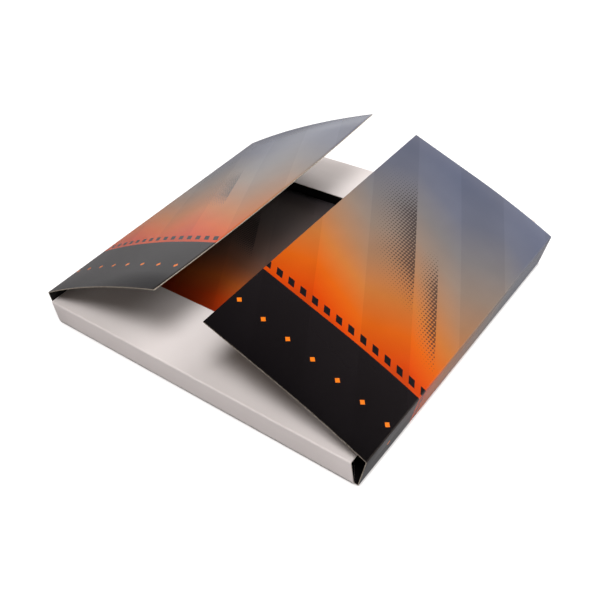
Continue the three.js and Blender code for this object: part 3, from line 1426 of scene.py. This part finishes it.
@dataclass
class Platform:
    """The white board platform, with its window over the well, and its back wall folded out flat."""

    finishes: Finishes
    flange: float = 15 * MM
    fold_radius: float = 1.1 * MM
    fold_steps: int = 8
    seam: float = 6 * MM
    fold_reach: float = 1.1 * MM
    shoulder: float = 2 * MM
    taper: float = 10 * MM
    edge_bevel: float = 0.07 * MM
    card_clearance: float = 0.4 * MM

    def __post_init__(self) -> None:
        """Read the board's size, the well and the back fold from the frame."""
        low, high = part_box("platform")
        self.low, self.high = low, high
        wall_low, wall_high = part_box("back_wall")
        self.board = wall_high.z - wall_low.z
        self.wall_end = wall_high.y
        self.fold = joint_place("back_wall_fold")
        tray_low, tray_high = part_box("floor_card")
        clearance = self.card_clearance
        self.well_low = Vector((tray_low.x - clearance, tray_low.y - clearance, high.z - MM))
        self.well_high = Vector((tray_high.x + clearance, tray_high.y + clearance, high.z + MM))

    @staticmethod
    def lift(across: float, along: float, up: float) -> Vector:
        """Turn a section drawn from front to back into points of the frame."""
        return Vector((along, across, up))

    def is_cut(self, start: Vector, end: Vector) -> bool:
        """Tell whether an edge lies on the board's outline, and not on the seam near the back fold."""
        seam = self.fold.y - self.seam
        return not all(abs(point.y - seam) < NEAR for point in (start, end))

    def build_top(self) -> None:
        """Build flange, front wall and top as one folded board with a window."""
        front, top = self.low.y, self.high.z
        height = top - self.low.z
        depth = self.fold.y - self.seam - front
        corners = [
            Row(front + self.flange, self.low.z, 0.0),
            Row(front, self.low.z, self.flange),
            Row(front, top, self.flange + height),
            Row(self.fold.y - self.seam, top, self.flange + height + depth),
        ]
        rows = rounded(corners, self.fold_radius, self.fold_steps)
        piece = FoldedSheet("platform_board", rows, self.lift, (self.low.x, self.high.x))
        piece.face_towards(Vector((0, 0, -1)))
        for x, move in ((self.low.x, self.taper), (self.high.x, -self.taper)):
            corner = Vector((x, front + self.flange, self.low.z))
            piece.move_corners(lambda co, at=corner: (co - at).length < NEAR, Vector((move, 0, 0)))
        piece.open_window(self.well_low, self.well_high)
        piece.map_flat(SHEET_MAP, swap=True)
        piece.thicken(self.board, (self.finishes.board, self.finishes.board_back, self.finishes.board_edge))
        piece.soften_cut(self.edge_bevel, self.is_cut)
        board = piece.finish()
        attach(board, "box")
        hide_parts("platform")

    def build_back_wall(self) -> None:
        """Build the back wall with a strip of the top, lying flat across the back fold."""
        top = self.high.z
        fold, reach = self.fold.y, self.fold_reach
        places = [fold - self.seam, fold - reach, fold - reach / 2, fold, fold + reach / 2, fold + reach]
        places += [fold + self.shoulder, self.wall_end]
        rows = [Row(place, top, place) for place in places]
        piece = FoldedSheet("back_wall_board", rows, self.lift, (self.low.x, self.high.x))
        piece.face_towards(Vector((0, 0, 1)))
        for x, move in ((self.low.x, self.taper), (self.high.x, -self.taper)):
            corner = Vector((x, self.wall_end, top))
            piece.move_corners(lambda co, at=corner: (co - at).length < NEAR, Vector((move, 0, 0)))
        piece.map_flat(SHEET_MAP, swap=True)
        edge = self.finishes.board_edge
        piece.thicken(self.board, (self.finishes.board_leaf, self.finishes.board_back, edge))
        piece.soften_cut(self.edge_bevel, self.is_cut)
        wall = piece.finish()
        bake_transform(wall)
        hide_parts("back_wall")

    def build(self) -> None:
        """Build both pieces of the platform."""
        self.build_top()
        self.build_back_wall()


@dataclass
class Well:
    """The black well tray and the printed card on its floor, which stay as packed."""

    finishes: Finishes

    def dress(self, node: str, material: bpy.types.Material, slot: Slot) -> None:
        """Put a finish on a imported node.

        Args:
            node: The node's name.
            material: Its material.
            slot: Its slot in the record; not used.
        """
        item = frame["nodes"][node]
        item.data.materials.clear()
        item.data.materials.append(material)
        LOG.info("%s: dressed with %s", node, material.name)

    def build(self) -> None:
        """Dress the tray and the floor card."""
        self.dress("well_tray", self.finishes.tray, Slot.TRAY)
        self.dress("floor_card", self.finishes.floor, Slot.FLOOR)


# Studio


@dataclass(frozen=True)
class Lamp:
    """A square soft lamp that points at the box, placed by its direction from the box.

    Its azimuth runs from the front, -Y, towards the right, +X, in degrees.
    """

    name: str
    azimuth: float
    elevation: float
    distance: float
    size: float
    power: float
    color: Color = (1.0, 0.98, 0.975)

    def build(self) -> None:
        """Add the lamp, hidden from reflections."""
        azimuth, elevation = math.radians(self.azimuth), math.radians(self.elevation)
        level = math.cos(elevation)
        away = Vector((math.sin(azimuth) * level, -math.cos(azimuth) * level, math.sin(elevation)))
        data = bpy.data.lights.new(self.name, "AREA")
        data.size = self.size
        data.energy = self.power
        data.color = self.color
        lamp = bpy.data.objects.new(self.name, data)
        lamp.location = away * self.distance
        lamp.rotation_euler = (-away).to_track_quat("-Z", "Y").to_euler()
        lamp.visible_glossy = False
        bpy.context.scene.collection.objects.link(lamp)


@dataclass(frozen=True)
class MirrorGrade:
    """How strongly the surroundings shine in the film: more, the farther back they lie."""

    span: tuple[float, float] = (0.4, 0.7)
    levels: tuple[float, float] = (0.5, 1.35)

    def strength(self, nodes: Nodes, back: Socket) -> Socket:
        """Give the strength for a direction, by its share towards the back."""
        return nodes.remap(back, *self.span, *self.levels)


@dataclass(frozen=True)
class PaleFloor:
    """The floor's finish: pale to the camera, with the box's shadow and a thin contact line of painted shade.

    The floor shines in the film by the mirror values, stronger farther out. The open values lift the floor
    that the camera sees to white away from the box.
    """

    tone: Color = (0.7, 0.7, 0.7)
    bounce: Color = (0.32, 0.32, 0.33)
    rough: float = 0.9
    contact_reach: float = 1.4 * MM
    contact_power: float = 3.0
    mirror_reach: tuple[float, float] = (0.3, 0.9)
    mirror_levels: tuple[float, float] = (0.06, 0.9)
    open_reach: tuple[float, float] = (0.5, 1.5)
    open_levels: tuple[float, float] = (0.5, 1.0)

    def build(self, mirror: MirrorGrade) -> bpy.types.Material:
        """Make the material.

        Args:
            mirror: How much more it shines in the film towards the back.

        Returns:
            The material.
        """
        shader = Shader("pale_floor", None)
        nodes = shader.nodes
        path = nodes.add("ShaderNodeLightPath")
        camera = path.outputs["Is Camera Ray"]
        length = nodes.add("ShaderNodeVectorMath", operation="LENGTH")
        nodes.feed(length.inputs[0], shader.place)
        away = length.outputs["Value"]
        _, back, _ = nodes.split(shader.place)
        shine = nodes.remap(away, *self.mirror_reach, *self.mirror_levels)
        shine = nodes.math("MULTIPLY", shine, mirror.strength(nodes, nodes.math("DIVIDE", back, away)))
        mirrored = nodes.math("MULTIPLY", path.outputs["Is Glossy Ray"], shine)
        # Painted contact shade: occlusion within a short reach of the box dims the floor's glow to the
        # camera.
        contact = nodes.add("ShaderNodeAmbientOcclusion", samples=8)
        contact.inputs["Distance"].default_value = self.contact_reach
        painted_contact_shade = nodes.math("POWER", contact.outputs["AO"], self.contact_power)
        seen = nodes.math("MULTIPLY", camera, nodes.remap(away, *self.open_reach, *self.open_levels))
        seen = nodes.math("MULTIPLY", seen, painted_contact_shade)
        shader.set(Base_Color=nodes.mix(camera, self.bounce, self.tone), Roughness=self.rough)
        shader.set(Specular_IOR_Level=0.0, Emission_Color=WHITE)
        shader.set(Emission_Strength=nodes.math("ADD", seen, mirrored))
        return shader.material


@dataclass(frozen=True)
class Studio:
    """Camera, floor, world and lamps."""

    azimuth: float = 43.694
    elevation: float = 41.001
    roll: float = -8.989
    lens: float = 47.58
    place: tuple[float, float, float] = (0.27829, -0.28887, 0.34138)
    sensor: float = 36.0
    clip: tuple[float, float] = (0.01, 100.0)
    floor_size: float = 30.0
    floor_drop: float = 0.2 * MM
    floor_finish: PaleFloor = PaleFloor()
    mirror: MirrorGrade = MirrorGrade()
    rise_span: tuple[float, float] = (0.2, 0.52)
    top_level: float = 0.05
    horizon_tint: Color = (1.0, 0.985, 1.0)
    top_tint: Color = (1.0, 0.72, 0.5)
    lamps: tuple[Lamp, ...] = (
        Lamp("key", azimuth=51.0, elevation=61.0, distance=2.5, size=0.7, power=40.0),
        Lamp("side", azimuth=115.0, elevation=52.0, distance=2.5, size=1.2, power=27.0),
        Lamp("rim", azimuth=250.0, elevation=30.0, distance=2.5, size=0.9, power=14.0),
    )

    def camera(self) -> None:
        """Set the camera for the main view, meant for a frame of 600 by 600, which is not set here."""
        azimuth, elevation, roll = (math.radians(x) for x in (self.azimuth, self.elevation, self.roll))
        level = math.cos(elevation)
        ahead = Vector((-math.sin(azimuth) * level, math.cos(azimuth) * level, -math.sin(elevation)))
        right = ahead.cross(Vector((0, 0, 1))).normalized()
        up = right.cross(ahead)
        turned_right = right * math.cos(roll) + up * math.sin(roll)
        turned_up = up * math.cos(roll) - right * math.sin(roll)
        data = bpy.data.cameras.new("camera")
        data.lens = self.lens
        data.sensor_width = self.sensor
        data.clip_start, data.clip_end = self.clip
        camera = bpy.data.objects.new("camera", data)
        bpy.context.scene.collection.objects.link(camera)
        axes = Matrix((turned_right, turned_up, -ahead)).transposed()
        camera.matrix_world = Matrix.Translation(self.place) @ axes.to_4x4()
        bpy.context.scene.camera = camera

    def floor(self) -> None:
        """Lay the plain floor under the box."""
        deselect_all()
        bpy.ops.mesh.primitive_plane_add(size=self.floor_size, location=(0, 0, -self.floor_drop))
        plane = bpy.context.object
        plane.name = "floor"
        plane.data.materials.append(self.floor_finish.build(self.mirror))

    @staticmethod
    def only_for(nodes: Nodes, share: Socket, value: Socket) -> Socket:
        """Give a factor that is the value for the rays that share marks, and one for all others."""
        return nodes.math("MULTIPLY_ADD", share, nodes.math("SUBTRACT", value, 1.0), 1.0)

    def world(self) -> None:
        """Make the world white to the camera, and otherwise a pale horizon under a dim warm top."""
        world = bpy.data.worlds.new("studio")
        world.use_nodes = True
        bpy.context.scene.world = world
        nodes = Nodes(world.node_tree)
        background = world.node_tree.nodes["Background"]
        path = nodes.add("ShaderNodeLightPath")
        camera, glossy = path.outputs["Is Camera Ray"], path.outputs["Is Glossy Ray"]
        _, back, height = nodes.split(nodes.add("ShaderNodeTexCoord").outputs["Generated"])
        rise = nodes.remap(height, *self.rise_span, 0.0, 1.0)
        tint = nodes.mix(rise, self.horizon_tint, self.top_tint)
        level = nodes.math("MULTIPLY_ADD", rise, self.top_level - 1.0, 1.0)
        mirrored = self.only_for(nodes, glossy, self.mirror.strength(nodes, back))
        level = nodes.math("MULTIPLY", level, mirrored)
        nodes.feed(background.inputs["Color"], nodes.mix(camera, tint, WHITE))
        nodes.feed(background.inputs["Strength"], nodes.math("MAXIMUM", level, camera))

    def build(self) -> None:
        """Set up the whole studio."""
        self.floor()
        self.world()
        for lamp in self.lamps:
            lamp.build()
        bpy.context.scene.view_settings.view_transform = "Standard"


def main() -> None:
    """Build the box in order, then its studio."""
    logging.basicConfig(level=logging.INFO, format="%(name)s: %(message)s")
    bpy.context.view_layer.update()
    studio = Studio()
    studio.camera()
    low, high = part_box("base_panel")
    floor_low, floor_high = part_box("floor_card")
    finishes = Finishes((high.y - low.y) / 2, (floor_low + floor_high) / 2)
    Wrap(finishes).build()
    Platform(finishes).build()
    Well(finishes).build()
    studio.build()
    deselect_all()


if __name__ == "__main__":
    main()
